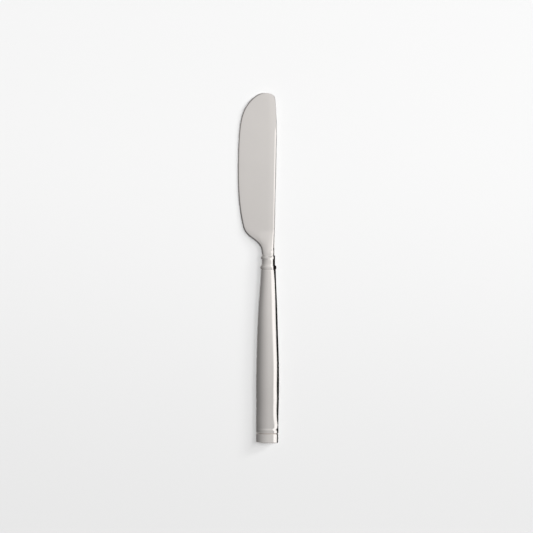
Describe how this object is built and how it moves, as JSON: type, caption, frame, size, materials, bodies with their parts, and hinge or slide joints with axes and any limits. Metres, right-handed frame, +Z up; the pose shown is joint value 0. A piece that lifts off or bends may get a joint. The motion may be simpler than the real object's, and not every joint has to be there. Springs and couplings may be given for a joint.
{
  "type": "butter knife",
  "caption": "Butter knife with a broad round-tipped blade, a beaded collar and a hollow oval handle that ends in a domed cap, for spreading butter.",
  "frame": {"origin": "centre of the knife's footprint as it lies at rest, at the height of the table", "axes": "+Y along the handle axis from the butt to the tip, +X towards the spine, +Z up from the table. The knife lies as it comes to rest, rolled 8.5 degrees about +Y, so that the cutting edge touches the table"},
  "size_m": [0.0212, 0.1704, 0.0055],
  "materials": {
    "polished_steel": "polished",
    "silver_braze": "polished",
    "handle_cement": "matte"
  },
  "bodies": {
    "root": {"blade": "polished_steel", "collar": "polished_steel", "handle_shell_top": "polished_steel", "handle_shell_bottom": "polished_steel", "seam_braze": "silver_braze", "butt_cap": "polished_steel", "cement_core": "handle_cement"}
  },
  "joints": []
}
